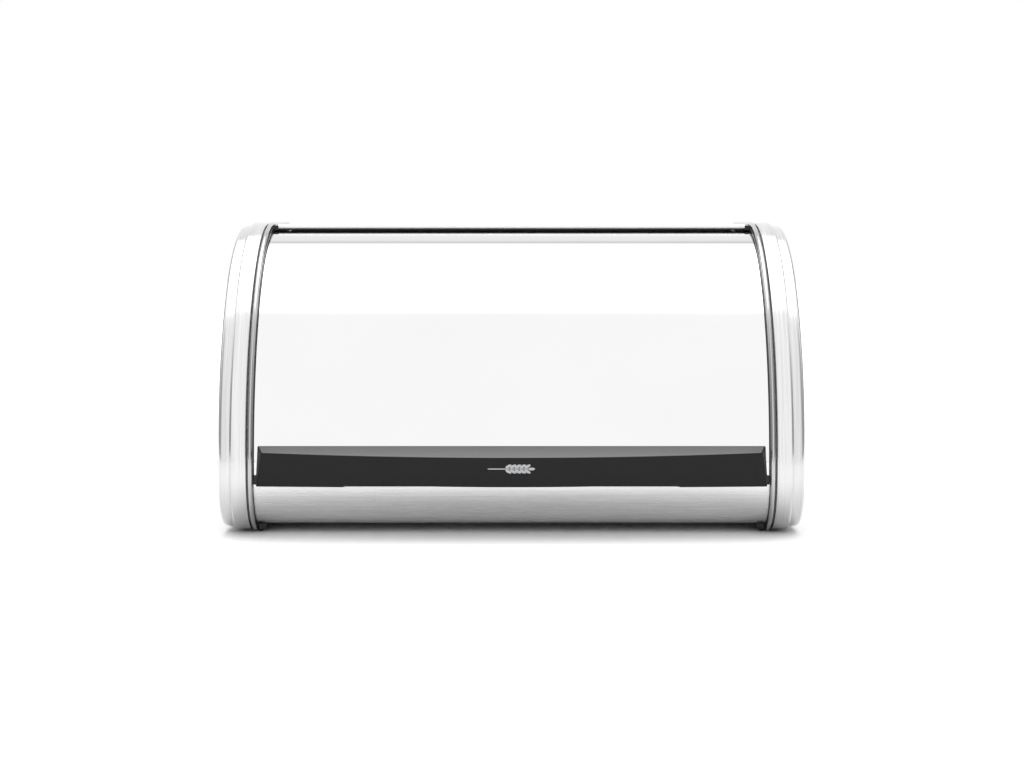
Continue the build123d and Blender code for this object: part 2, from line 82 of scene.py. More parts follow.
class Body(Enum):
    """The bodies of the frame that pieces ride on."""

    BOX = "box"
    LID = "roll_lid"


class Part(Enum):
    """What an edit-mode selection picks."""

    EDGES = "EDGE"
    FACES = "FACE"


# ---------------------------------------------------------------- places taken from the frame
@dataclass(frozen=True)
class Places:
    """Lines and edges of the frame that new pieces are lined up with."""

    axis_y: float
    axis_z: float
    base_z: float
    half_width: float
    cap_inner_x: float
    band_radius: float
    bead_x: float
    bead_radius: float
    lid_half_width: float
    lid_radius: float
    lid_low_z: float
    panel_half_width: float
    panel_top_z: float
    handle_low_z: float
    handle_high_z: float

    @classmethod
    def from_frame(cls) -> "Places":
        """Read the places from the joint and the nodes' boxes."""
        _, axis_y, axis_z = frame["joints"][0]["pos_m"]
        cap_low, cap_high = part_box("right_end_cap")
        bead_low, bead_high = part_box("right_edge_bead")
        lid_low, lid_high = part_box("lid_sheet")
        panel_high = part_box("back_and_top_panel")[1]
        handle_low, handle_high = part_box("lid_handle")
        return cls(
            axis_y=axis_y,
            axis_z=axis_z,
            base_z=cap_low.z,
            half_width=cap_high.x,
            cap_inner_x=cap_low.x,
            band_radius=cap_high.z - axis_z,
            bead_x=(bead_low.x + bead_high.x) / 2,
            bead_radius=(bead_high.x - bead_low.x) / 2,
            lid_half_width=lid_high.x,
            lid_radius=axis_y - lid_low.y,
            lid_low_z=lid_low.z,
            panel_half_width=panel_high.x,
            panel_top_z=panel_high.z,
            handle_low_z=handle_low.z,
            handle_high_z=handle_high.z,
        )

    def on_circle(self, radius: float, angle: float) -> tuple[float, float]:
        """Y and Z of a point on a circle about the lid's axis.

        Args:
            radius: Distance from the axis.
            angle: Degrees, 0 at the front and 90 at the top.

        Returns:
            The point's Y and Z.
        """
        turn = radians(angle)
        return self.axis_y - radius * cos(turn), self.axis_z + radius * sin(turn)


# ---------------------------------------------------------------- bench tools
def take(shape: Shape) -> None:
    """Select one object alone and make it active."""
    for other in list(bpy.context.selected_objects):
        other.select_set(False)
    shape.select_set(True)
    bpy.context.view_layer.objects.active = shape


@contextmanager
def editing(shape: Shape) -> Iterator[None]:
    """Open an object's mesh for editing with nothing selected, and close it after."""
    take(shape)
    bpy.ops.object.mode_set(mode="EDIT")
    bpy.ops.mesh.select_mode(type="VERT")
    bpy.ops.mesh.select_all(action="DESELECT")
    try:
        yield
    finally:
        bpy.ops.object.mode_set(mode="OBJECT")


def pick(shape: Shape, part: Part, test: Callable[[Vector, Vector], bool]) -> int:
    """Select the elements of an open mesh that pass a test, and nothing else.

    Args:
        shape: Object in edit mode.
        part: Kind of element to pick.
        test: Called with the element's middle and a face's normal or an edge's direction.

    Returns:
        How many were picked.
    """
    bpy.ops.mesh.select_all(action="DESELECT")
    bpy.ops.mesh.select_mode(type=part.value)
    mesh = bmesh.from_edit_mesh(shape.data)
    count = 0
    if part is Part.EDGES:
        for edge in mesh.edges:
            middle = (edge.verts[0].co + edge.verts[1].co) / 2
            if test(middle, edge.verts[0].co - edge.verts[1].co):
                edge.select_set(True)
                count += 1
    else:
        for face in mesh.faces:
            if test(face.calc_center_median(), face.normal):
                face.select_set(True)
                count += 1
    mesh.select_flush_mode()
    bmesh.update_edit_mesh(shape.data)
    return count


def named(shape: Shape, name: str) -> Shape:
    """Give an object and its mesh a name."""
    shape.name = name
    shape.data.name = name
    return shape


def block(name: str, low: Sequence[float], high: Sequence[float]) -> Shape:
    """A box between two corners, made from a cube, with the object at the origin."""
    bpy.ops.mesh.primitive_cube_add(size=1)
    shape = named(bpy.context.object, name)
    with editing(shape):
        bpy.ops.mesh.select_all(action="SELECT")
        bpy.ops.transform.resize(value=[b - a for a, b in zip(low, high)])
        bpy.ops.transform.translate(value=[(a + b) / 2 for a, b in zip(low, high)])
    return shape


def bar(
    name: str,
    radius: float,
    length: float,
    centre: Sequence[float],
    axis: Sequence[float],
    sides: int = 24,
) -> Shape:
    """A round bar about a centre, along an axis, with the object at the origin."""
    bpy.ops.mesh.primitive_cylinder_add(vertices=sides, radius=radius, depth=length)
    shape = named(bpy.context.object, name)
    turn = Vector((0, 0, 1)).rotation_difference(Vector(axis)).to_matrix().to_4x4()
    shape.data.transform(Matrix.Translation(Vector(centre)) @ turn)
    return shape


def modify(shape: Shape, kind: str, **settings: object) -> None:
    """Add a modifier with the settings given and apply it."""
    take(shape)
    modifier = shape.modifiers.new(kind.title(), kind)
    for key, value in settings.items():
        setattr(modifier, key, value)
    bpy.ops.object.modifier_apply(modifier=modifier.name)


def thicken(shape: Shape, sheet: float) -> None:
    """Give a surface the thickness of its sheet, on the side away from its faces."""
    even = {"use_even_offset": True, "use_quality_normals": True}
    modify(shape, "SOLIDIFY", thickness=sheet, offset=-1.0, **even)


def cut(shape: Shape, tool: Shape) -> None:
    """Take a tool's volume out of a shape and throw the tool away."""
    modify(shape, "BOOLEAN", operation="DIFFERENCE", object=tool, solver="EXACT")
    bpy.data.objects.remove(tool, do_unlink=True)


def slice_off(shape: Shape, point: Sequence[float], normal: Sequence[float]) -> None:
    """Cut a closed shape with a plane, drop what the normal points to, and close the cut."""
    with editing(shape):
        bpy.ops.mesh.select_all(action="SELECT")
        bpy.ops.mesh.bisect(plane_co=point, plane_no=normal, use_fill=True, clear_outer=True)


def join(name: str, shapes: Sequence[Shape]) -> Shape:
    """Join several objects into one and name it."""
    take(shapes[0])
    for shape in shapes[1:]:
        shape.select_set(True)
    if len(shapes) > 1:
        bpy.ops.object.join()
    return named(shapes[0], name)


def mirror_x(shape: Shape) -> None:
    """Turn a piece into its mirror image across the middle of the box."""
    with editing(shape):
        bpy.ops.mesh.select_all(action="SELECT")
        bpy.ops.transform.resize(value=(-1, 1, 1), center_override=(0, 0, 0))
        bpy.ops.mesh.flip_normals()


def merge_doubles(shape: Shape, closed: bool = True) -> None:
    """Weld coincident points, and make a closed mesh face outwards."""
    with editing(shape):
        bpy.ops.mesh.select_all(action="SELECT")
        bpy.ops.mesh.remove_doubles(threshold=0.00001)
        if closed:
            bpy.ops.mesh.normals_make_consistent(inside=False)


def face_away(shape: Shape, point: Vector) -> None:
    """Make the faces of an open sheet look away from a point inside its curve."""
    faces = shape.data.polygons
    outward = sum((face.center - point).dot(face.normal) * face.area for face in faces)
    if outward < 0:
        with editing(shape):
            bpy.ops.mesh.select_all(action="SELECT")
            bpy.ops.mesh.flip_normals()


def smooth(shape: Shape, angle: float = 35.0) -> None:
    """Shade a piece smooth, sharp past an angle, with big faces kept flat."""
    take(shape)
    bpy.ops.object.shade_smooth_by_angle(angle=radians(angle))
    modify(shape, "WEIGHTED_NORMAL", keep_sharp=True, weight=80)


class Pen:
    """Draws a section across the width, one run or arc after another, and pulls it along X."""

    def __init__(self, name: str, x: float, y: float, z: float) -> None:
        """Start a section from one point.

        Args:
            name: Name of the new object.
            x: Place across the width of the first section.
            y: Start, front to back.
            z: Start, height.
        """
        bpy.ops.mesh.primitive_plane_add(size=1)
        self.shape = named(bpy.context.object, name)
        take(self.shape)
        bpy.ops.object.mode_set(mode="EDIT")
        bpy.ops.mesh.select_mode(type="VERT")
        bpy.ops.mesh.select_all(action="SELECT")
        bpy.ops.mesh.merge(type="CENTER")
        bpy.ops.transform.translate(value=(x, y, z))
        self.x = x

    def run(self, dy: float, dz: float) -> "Pen":
        """Draw a straight run."""
        bpy.ops.mesh.extrude_region_move(TRANSFORM_OT_translate={"value": (0, dy, dz)})
        return self

    def arc(self, y: float, z: float, turn: float, steps: int) -> "Pen":
        """Draw an arc about a centre, a positive turn going from the top to the back."""
        bpy.ops.mesh.spin(steps=steps, angle=radians(turn), center=(self.x, y, z), axis=(1, 0, 0))
        return self

    def close(self) -> Shape:
        """Join the ends into a closed ring, and finish."""
        bpy.ops.mesh.select_all(action="SELECT")
        bpy.ops.mesh.remove_doubles(threshold=0.00001)
        bpy.ops.object.mode_set(mode="OBJECT")
        return self.shape

    def pull(self, stations: Sequence[float]) -> Shape:
        """Pull the open section along X through the stations, and finish."""
        bpy.ops.mesh.select_all(action="SELECT")
        for start, end in zip(stations, stations[1:]):
            step = (end - start, 0, 0)
            bpy.ops.mesh.extrude_region_move(TRANSFORM_OT_translate={"value": step})
        bpy.ops.object.mode_set(mode="OBJECT")
        return self.shape


def rounded(
    centre: tuple[float, float], radius: float, start: float, end: float, steps: int
) -> list[tuple[float, float]]:
    """Points of an arc in a section, angles in degrees from the first coordinate to the second."""
    points = []
    for step in range(steps + 1):
        angle = radians(start + (end - start) * step / steps)
        points.append((centre[0] + radius * cos(angle), centre[1] + radius * sin(angle)))
    return points


def loft(name: str, rings: Sequence[Shape]) -> Shape:
    """Join rings of equal count into one skin, bridging each to the next, and fill the last.

    Args:
        name: Name of the new object.
        rings: Closed rings of edges, in order.

    Returns:
        The skin, open at the first ring.
    """
    count = len(rings[0].data.vertices)
    shape = join(name, rings)
    with editing(shape):
        for number in range(len(rings) - 1):
            select_run(shape, number * count, (number + 2) * count)
            bpy.ops.mesh.bridge_edge_loops()
        select_run(shape, (len(rings) - 1) * count, len(rings) * count)
        bpy.ops.mesh.edge_face_add()
    return shape


def select_run(shape: Shape, first: int, last: int) -> None:
    """Select the edges of an open mesh that join vertices numbered from first up to last."""
    bpy.ops.mesh.select_all(action="DESELECT")
    bpy.ops.mesh.select_mode(type="EDGE")
    mesh = bmesh.from_edit_mesh(shape.data)
    mesh.verts.index_update()
    for edge in mesh.edges:
        edge.select_set(all(first <= vert.index < last for vert in edge.verts))
    mesh.select_flush_mode()
    bmesh.update_edit_mesh(shape.data)


# ---------------------------------------------------------------- finishes
class NodeSheet:
    """One material's node tree, with short calls for the nodes that the finishes share."""

    def __init__(self, name: str) -> None:
        """Start an empty material with a Principled surface."""
        self.material = bpy.data.materials.new(name)
        self.material.use_nodes = True
        self.tree = self.material.node_tree
        self.tree.nodes.clear()
        self.output = self.node("ShaderNodeOutputMaterial")
        self.surface = self.node("ShaderNodeBsdfPrincipled")
        self.wire(self.surface.outputs["BSDF"], self.output.inputs["Surface"])
        self.place = self.node("ShaderNodeTexCoord").outputs["Object"]

    def node(self, kind: str, **settings: object) -> bpy.types.Node:
        """Add a node and set its properties."""
        made = self.tree.nodes.new(kind)
        for key, value in settings.items():
            setattr(made, key, value)
        return made

    def wire(self, source: Socket, target: Socket) -> None:
        """Link an output to an input."""
        self.tree.links.new(source, target)

    def noise(self, scale: Sequence[float], detail: float = 3.0, shift: float = 0.0) -> Socket:
        """Noise on object coordinates.

        Args:
            scale: Repeats per metre along X, Y and Z.
            detail: Octaves.
            shift: Moves the pattern, so that two noises differ.

        Returns:
            The noise's value socket.
        """
        mapping = self.node("ShaderNodeMapping")
        mapping.inputs["Scale"].default_value = scale
        mapping.inputs["Location"].default_value = (shift, shift * 0.7, shift * 1.3)
        self.wire(self.place, mapping.inputs["Vector"])
        texture = self.node("ShaderNodeTexNoise")
        texture.inputs["Scale"].default_value = 1.0
        texture.inputs["Detail"].default_value = detail
        self.wire(mapping.outputs["Vector"], texture.inputs["Vector"])
        return texture.outputs["Fac"]

    def span(
        self, value: Socket, low: float, high: float, start: float = 0.3, end: float = 0.7
    ) -> Socket:
        """Map a value between start and end onto low to high, clamped."""
        ranged = self.node("ShaderNodeMapRange")
        ranged.inputs["From Min"].default_value = start
        ranged.inputs["From Max"].default_value = end
        ranged.inputs["To Min"].default_value = low
        ranged.inputs["To Max"].default_value = high
        self.wire(value, ranged.inputs["Value"])
        return ranged.outputs["Result"]

    def sum(self, first: Socket, second: Socket) -> Socket:
        """Add two values."""
        adder = self.node("ShaderNodeMath", operation="ADD")
        self.wire(first, adder.inputs[0])
        self.wire(second, adder.inputs[1])
        return adder.outputs[0]

    def tint(
        self, value: Socket, dark: Colour, light: Colour, start: float = 0.3, end: float = 0.7
    ) -> None:
        """Drive the base colour between two colours by a value."""
        ramp = self.node("ShaderNodeValToRGB")
        ramp.color_ramp.elements[0].position = start
        ramp.color_ramp.elements[0].color = (*dark, 1)
        ramp.color_ramp.elements[1].position = end
        ramp.color_ramp.elements[1].color = (*light, 1)
        self.wire(value, ramp.inputs["Fac"])
        self.wire(ramp.outputs["Color"], self.surface.inputs["Base Color"])

    def relief(self, value: Socket, depth: float) -> None:
        """Bump the surface by a value.

        Args:
            value: Height from 0 to 1.
            depth: Height of 1, in metres.
        """
        bump = self.node("ShaderNodeBump")
        bump.inputs["Strength"].default_value = 1.0
        bump.inputs["Distance"].default_value = depth
        self.wire(value, bump.inputs["Height"])
        self.wire(bump.outputs["Normal"], self.surface.inputs["Normal"])

    def set(self, **values: float) -> None:
        """Set constant inputs of the surface, with underscores for spaces in their names."""
        for key, value in values.items():
            self.surface.inputs[key.replace("_", " ")].default_value = value


@dataclass(frozen=True)
class BrushedSteel:
    """Steel sheet with a fine directional grain."""

    name: str
    dark: Colour
    light: Colour
    grain: tuple[float, float, float]
    roughness: float = 0.3
    roughness_spread: float = 0.08
    relief_depth: float = 0.000003
    anisotropy: float = 0.4

    def make(self) -> bpy.types.Material:
        """Build the material."""
        sheet = NodeSheet(self.name)
        coarse = tuple(scale * 0.22 for scale in self.grain)
        fine_grain = sheet.noise(self.grain, detail=4.0)
        coarse_grain = sheet.noise(coarse, detail=2.0, shift=3.1)
        clouds = sheet.noise((18.0, 18.0, 18.0), detail=2.0, shift=7.7)
        streaks = sheet.sum(sheet.span(fine_grain, 0.0, 0.6), sheet.span(coarse_grain, 0.0, 0.4))
        sheet.tint(streaks, self.dark, self.light, 0.15, 0.85)
        smoothest = self.roughness - self.roughness_spread
        roughest = self.roughness + self.roughness_spread
        rough = sheet.sum(
            sheet.span(streaks, smoothest, roughest, 0, 1), sheet.span(clouds, -0.015, 0.02)
        )
        sheet.wire(rough, sheet.surface.inputs["Roughness"])
        sheet.relief(streaks, self.relief_depth)
        sheet.set(Metallic=1.0, Anisotropic=self.anisotropy)
        return sheet.material


@dataclass(frozen=True)
class BrightSteel:
    """Polished sheet: a clear mirror with faint wiping marks and a hazy smudge here and there."""

    name: str
    colour: Colour
    roughness: float = 0.03
    haze: float = 0.03
    wiping: tuple[float, float, float] = (14.0, 900.0, 900.0)

    def make(self) -> bpy.types.Material:
        """Build the material."""
        sheet = NodeSheet(self.name)
        clouds = sheet.noise((11.0, 16.0, 16.0), detail=3.0)
        marks = sheet.noise(self.wiping, detail=2.0, shift=2.3)
        dimmer = tuple(channel * 0.985 for channel in self.colour)
        sheet.tint(clouds, dimmer, self.colour)
        rough = sheet.sum(
            sheet.span(clouds, self.roughness, self.roughness + self.haze, 0.5, 0.8),
            sheet.span(marks, 0.0, 0.02),
        )
        sheet.wire(rough, sheet.surface.inputs["Roughness"])
        sheet.relief(marks, 0.0000006)
        sheet.set(Metallic=1.0)
        return sheet.material


@dataclass(frozen=True)
class MouldedPlastic:
    """Moulded plastic with a fine spark-eroded texture."""

    name: str
    dark: Colour
    light: Colour
    roughness: float = 0.38
    texture: float = 2600.0
    texture_depth: float = 0.00001
    ior: float = 1.45
    coat: float = 0.0
    sheen: float = 0.0

    def make(self) -> bpy.types.Material:
        """Build the material."""
        sheet = NodeSheet(self.name)
        pebble = sheet.noise((self.texture,) * 3, detail=2.0)
        clouds = sheet.noise((22.0, 22.0, 22.0), detail=3.0, shift=5.0)
        sheet.tint(clouds, self.dark, self.light)
        rough = sheet.sum(
            sheet.span(pebble, self.roughness - 0.04, self.roughness + 0.04),
            sheet.span(clouds, -0.03, 0.04),
        )
        sheet.wire(rough, sheet.surface.inputs["Roughness"])
        sheet.relief(pebble, self.texture_depth)
        sheet.set(IOR=self.ior, Coat_Weight=self.coat, Coat_Roughness=0.08)
        sheet.set(Sheen_Weight=self.sheen, Sheen_Roughness=0.4)
        return sheet.material


@dataclass(frozen=True)
class PrintedInk:
    """Pale pad-printed ink, a little uneven."""

    name: str
    colour: Colour

    def make(self) -> bpy.types.Material:
        """Build the material."""
        sheet = NodeSheet(self.name)
        grain = sheet.noise((5200.0,) * 3, detail=2.0)
        thin = tuple(channel * 0.86 for channel in self.colour)
        sheet.tint(grain, thin, self.colour)
        sheet.wire(sheet.span(grain, 0.42, 0.58), sheet.surface.inputs["Roughness"])
        sheet.relief(grain, 0.000004)
        return sheet.material


@dataclass(frozen=True)
class PlatedSteel:
    """Zinc-plated fasteners, faintly mottled."""

    name: str
    colour: Colour

    def make(self) -> bpy.types.Material:
        """Build the material."""
        sheet = NodeSheet(self.name)
        mottle = sheet.noise((900.0,) * 3, detail=4.0)
        scratches = sheet.noise((350.0, 5200.0, 1400.0), detail=2.0, shift=1.9)
        darker = tuple(channel * 0.82 for channel in self.colour)
        sheet.tint(mottle, darker, self.colour)
        rough = sheet.sum(sheet.span(mottle, 0.24, 0.36), sheet.span(scratches, 0.0, 0.08))
        sheet.wire(rough, sheet.surface.inputs["Roughness"])
        sheet.relief(scratches, 0.000003)
        sheet.set(Metallic=1.0)
        return sheet.material


@dataclass(frozen=True)
class PaleFloor:
    """Matt pale studio floor."""

    name: str = "studio_floor"
    tone: float = 0.9

    def make(self) -> bpy.types.Material:
        """Build the material."""
        sheet = NodeSheet(self.name)
        mottle = sheet.noise((3.0, 3.0, 3.0), detail=2.0)
        pale = (self.tone,) * 3
        sheet.tint(mottle, tuple(channel * 0.995 for channel in pale), pale)
        sheet.set(Roughness=1.0, Specular_IOR_Level=0.0)
        return sheet.material


class Finishes:
    """Every finish of the box, made once."""

    def __init__(self) -> None:
        """Make the materials."""
        self.band = BrushedSteel(
            "brushed_band",
            (0.56, 0.56, 0.563),
            (0.68, 0.68, 0.68),
            grain=(3800.0, 26.0, 26.0),
            roughness=0.16,
        ).make()
        self.side = BrushedSteel(
            "brushed_side",
            (0.45, 0.45, 0.453),
            (0.56, 0.56, 0.56),
            grain=(26.0, 26.0, 3400.0),
            roughness=0.33,
        ).make()
        self.sheet = BrushedSteel(
            "satin_sheet",
            (0.70, 0.70, 0.705),
            (0.77, 0.77, 0.77),
            grain=(22.0, 3000.0, 3000.0),
            roughness=0.25,
        ).make()
        self.lid = BrightSteel("bright_lid", (0.69, 0.69, 0.693)).make()
        self.bead = BrightSteel("polished_bead", (0.45,) * 3, roughness=0.09, haze=0.05).make()
        self.handle = MouldedPlastic(
            "black_handle", (0.003,) * 3, (0.005,) * 3, roughness=0.36, ior=1.3, sheen=0.25
        ).make()
        # A lighter copy of the black handle plastic for the handle's top facet: a painted highlight
        # standing in for the overhead light that this facet catches.
        self.handle_land = MouldedPlastic(
            "handle_land",
            (0.084, 0.084, 0.085),
            (0.098, 0.098, 0.099),
            roughness=0.4,
            ior=1.5,
            sheen=0.35,
        ).make()
        self.track = MouldedPlastic(
            "black_track", (0.010,) * 3, (0.016,) * 3, roughness=0.3, ior=1.7
        ).make()
        self.moulding = MouldedPlastic(
            "black_moulding", (0.010,) * 3, (0.016,) * 3, roughness=0.45
        ).make()
        self.foot = MouldedPlastic(
            "gloss_foot", (0.008,) * 3, (0.012,) * 3, roughness=0.16, texture_depth=0.000002
        ).make()
        self.liner = MouldedPlastic(
            "grey_liner",
            (0.28, 0.28, 0.285),
            (0.33, 0.33, 0.335),
            roughness=0.5,
            texture_depth=0.00003,
        ).make()
        self.ink = PrintedInk("pale_print", (0.46, 0.47, 0.48)).make()
        self.plate = PlatedSteel("plated_fasteners", (0.66, 0.66, 0.67)).make()
        self.floor = PaleFloor().make()


def dress(shape: Shape, finish: bpy.types.Material) -> None:
    """Put one finish all over a piece."""
    if not shape.material_slots:
        shape.data.materials.append(finish)
    for slot in shape.material_slots:
        slot.material = finish


def place(shape: Shape, body: Body, nodes: Sequence[str]) -> Shape:
    """Hand a finished piece to the frame.

    Args:
        shape: The finished piece.
        body: Body that it rides on.
        nodes: CAD nodes that it stands for.

    Returns:
        The piece.
    """
    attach(shape, body.value)
    if nodes:
        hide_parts(*nodes)
    log.info("%s: %d faces, on %s", shape.name, len(shape.data.polygons), body.value)
    return shape


# ---------------------------------------------------------------- end caps and beads
@dataclass(frozen=True)
class SideOutline:
    """The box seen from the side: front quarter curve, flat top, upright back, tucked-in base."""

    places: Places
    rear_top_radius: float = 50 * MM
    rear_bottom_radius: float = 12 * MM

    def draw(self, name: str, inset: float, x: float) -> Shape:
        """Draw the outline as a closed ring of edges.

        Args:
            name: Name of the new object.
            inset: How far inside the wide band's surface the outline runs.
            x: Place across the width.

        Returns:
            An object with the ring.
        """
        at = self.places
        front = at.band_radius - inset
        lower = at.axis_z - at.base_z - inset
        rear_top = self.rear_top_radius - inset
        rear_bottom = max(self.rear_bottom_radius - inset, MM)
        front_y, rear_y = at.axis_y - front, at.axis_y + front
        top, bottom = at.axis_z + front, at.axis_z - lower
        pen = Pen(name, x, at.axis_y, top)
        pen.arc(at.axis_y, at.axis_z, -90, 96)
        pen.arc(front_y + lower, at.axis_z, -90, 36)
        pen.run(rear_y - rear_bottom - front_y - lower, 0)
        pen.arc(rear_y - rear_bottom, bottom + rear_bottom, -90, 14)
        pen.run(0, top - rear_top - bottom - rear_bottom)
        pen.arc(rear_y - rear_top, top - rear_top, -90, 40)
        pen.run(at.axis_y - rear_y + rear_top, 0)
        return pen.close()


@dataclass
class EndCap:
    """Pressed dish at one end: side face, narrow band, wide band and a flange turned inwards."""

    places: Places
    side: Side
    wide_band: float = 10.4 * MM
    band_step: float = 2.6 * MM
    flange: float = 24 * MM
    sheet: float = 0.8 * MM
    mouth_rounding: float = 0.9 * MM
    step_rounding: float = 1.0 * MM
    corner_rounding: float = 0.5 * MM
    face_rounding: float = 2.2 * MM
    band_draft: float = 0.6 * MM

    def build(self, finishes: Finishes) -> Shape:
        """Build and dress the cap.

        Args:
            finishes: The box's finishes.

        Returns:
            The finished piece.
        """
        outline = SideOutline(self.places)
        rings = [outline.draw("ring", inset, x) for x, inset in self.section()]
        shape = loft(f"{self.side.word}_cap", rings)
        merge_doubles(shape)
        face_away(shape, Vector((self.places.cap_inner_x, self.places.axis_y, self.places.axis_z)))
        modify(shape, "SOLIDIFY", thickness=self.sheet, offset=-1.0, use_even_offset=False)
        if self.side is Side.LEFT:
            mirror_x(shape)
        smooth(shape, 40)
        shape.data.materials.append(finishes.band)
        shape.data.materials.append(finishes.side)
        limit = self.places.half_width - 0.3 * MM
        for face in shape.data.polygons:
            flat = abs(face.normal.x) > 0.9 and abs(face.center.x) > limit
            face.material_index = 1 if flat else 0
        return place(shape, Body.BOX, [f"{self.side.word}_end_cap"])

    def section(self) -> list[tuple[float, float]]:
        """The cap's section from the flange to the side face, as places along X and insets."""
        at = self.places
        mouth_x, face_x = at.cap_inner_x, at.half_width
        step_x = mouth_x + self.wide_band
        points = [(mouth_x, self.flange)]
        mouth, step, inner = self.mouth_rounding, self.step_rounding, self.corner_rounding
        points += rounded((mouth_x + mouth, mouth), mouth, 180, 270, 6)
        points += rounded((step_x - step, step), step, 270, 360, 6)
        points += rounded((step_x + inner, self.band_step - inner), inner, 180, 90, 4)
        lift = self.face_rounding
        rim = self.band_step + self.band_draft + lift
        points += rounded((face_x - lift, rim), lift, 275, 360, 8)
        return points


@dataclass
class EdgeBead:
    """Polished round bead beside the wide band, right round the outline."""

    places: Places
    side: Side
    proud: float = 0.6 * MM

    def build(self, finishes: Finishes) -> Shape:
        """Build and dress the bead.

        Args:
            finishes: The box's finishes.

        Returns:
            The finished piece.
        """
        at = self.places
        inset = at.bead_radius - self.proud
        shape = SideOutline(at).draw(f"{self.side.word}_bead", inset, self.side.value * at.bead_x)
        take(shape)
        bpy.ops.object.convert(target="CURVE")
        shape.data.bevel_depth = at.bead_radius
        shape.data.bevel_resolution = 5
        bpy.ops.object.convert(target="MESH")
        merge_doubles(shape)
        smooth(shape, 50)
        dress(shape, finishes.bead)
        return place(shape, Body.BOX, [f"{self.side.word}_edge_bead"])


# ---------------------------------------------------------------- fixed sheets
@dataclass
class BasePan:
    """Floor sheet: tucked-under front with a rolled lip, and an upstand inside the back."""

    places: Places
    inset: float = 4.2 * MM
    sheet: float = 0.8 * MM
    hem: float = 1.5 * MM
    lip_z: float = 35.2 * MM
    bend: float = 6 * MM
    upstand_z: float = 28 * MM

    def build(self, finishes: Finishes) -> Shape:
        """Build and dress the floor sheet.

        Args:
            finishes: The box's finishes.

        Returns:
            The finished piece.
        """
        at = self.places
        radius = at.axis_z - at.base_z - self.inset
        arc_y = at.axis_y - at.band_radius + (at.axis_z - at.base_z)
        lip = degrees(asin((at.axis_z - self.lip_z + self.hem) / radius))
        reach = radius - self.hem
        hem_y, hem_z = arc_y - reach * cos(radians(lip)), at.axis_z - reach * sin(radians(lip))
        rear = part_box("base_pan")[1].y
        curl = 290.0
        start = radians(180 + lip - curl)
        first_y, first_z = hem_y + self.hem * cos(start), hem_z + self.hem * sin(start)
        pen = Pen("floor_pan", -at.panel_half_width, first_y, first_z)
        pen.arc(hem_y, hem_z, -curl, 20)
        pen.arc(arc_y, at.axis_z, -(90 - lip), 40)
        pen.run(rear - self.bend - arc_y, 0)
        pen.arc(rear - self.bend, at.axis_z - radius + self.bend, -90, 12)
        pen.run(0, self.upstand_z - (at.axis_z - radius + self.bend))
        shape = pen.pull((-at.panel_half_width, 0.0, at.panel_half_width))
        merge_doubles(shape, closed=False)
        face_away(shape, Vector((0, at.axis_y, at.axis_z)))
        thicken(shape, self.sheet)
        smooth(shape, 40)
        dress(shape, finishes.sheet)
        return place(shape, Body.BOX, ["base_pan"])


@dataclass
class BackAndTop:
    """One sheet: upright back with vents, round rear corner, flat top and a rolled front hem."""

    places: Places
    corner_radius: float = 46 * MM
    sheet: float = 0.8 * MM
    hem: float = 1.5 * MM
    hem_set_back: float = 12 * MM
    end_cut: float = 3.3 * MM
    cut_depth: float = 7 * MM
    foot_z: float = 10 * MM
    vent_radius: float = 2.5 * MM
    vent_pitch: float = 12 * MM
    vent_start: float = 70 * MM
    vent_z: float = 130 * MM
    vent_columns: int = 6
    vent_rows: int = 2

    def build(self, finishes: Finishes) -> Shape:
        """Build and dress the back and top sheet.

        Args:
            finishes: The box's finishes.

        Returns:
            The finished piece.
        """
        at = self.places
        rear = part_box("back_and_top_panel")[1].y
        top, radius = at.panel_top_z, self.corner_radius
        front = at.axis_y - self.hem_set_back
        curl = 300.0
        hem_z = top - self.hem
        start = radians(90 + curl)
        half = at.panel_half_width
        inner = half - self.end_cut
        first_y, first_z = front + self.hem * cos(start), hem_z + self.hem * sin(start)
        pen = Pen("back_and_top", -half, first_y, first_z)
        pen.arc(front, hem_z, curl, 24)
        pen.run(self.cut_depth, 0)
        pen.run(rear - radius - front - self.cut_depth, 0)
        pen.arc(rear - radius, top - radius, 90, 44)
        pen.run(0, self.foot_z - (top - radius))
        shape = pen.pull((-half, -inner, inner, half))
        merge_doubles(shape, closed=False)
        with editing(shape):
            limit_y = front + self.cut_depth - 0.1 * MM
            pick(
                shape,
                Part.FACES,
                lambda middle, normal: abs(middle.x) > inner and middle.y < limit_y,
            )
            bpy.ops.mesh.delete(type="FACE")
        face_away(shape, Vector((0, at.axis_y, at.axis_z)))
        thicken(shape, self.sheet)
        self.punch_vents(shape, rear)
        smooth(shape, 40)
        dress(shape, finishes.sheet)
        return place(shape, Body.BOX, ["back_and_top_panel"])

    def punch_vents(self, shape: Shape, rear: float) -> None:
        """Punch the two groups of round vents through the back."""
        punches = []
        for side in Side:
            for column in range(self.vent_columns):
                for row in range(self.vent_rows):
                    x = side.value * (self.vent_start + self.vent_pitch * column)
                    centre = (x, rear, self.vent_z + self.vent_pitch * row)
                    punches.append(bar("punch", self.vent_radius, 10 * MM, centre, (0, 1, 0), 28))
        cut(shape, join("punches", punches))


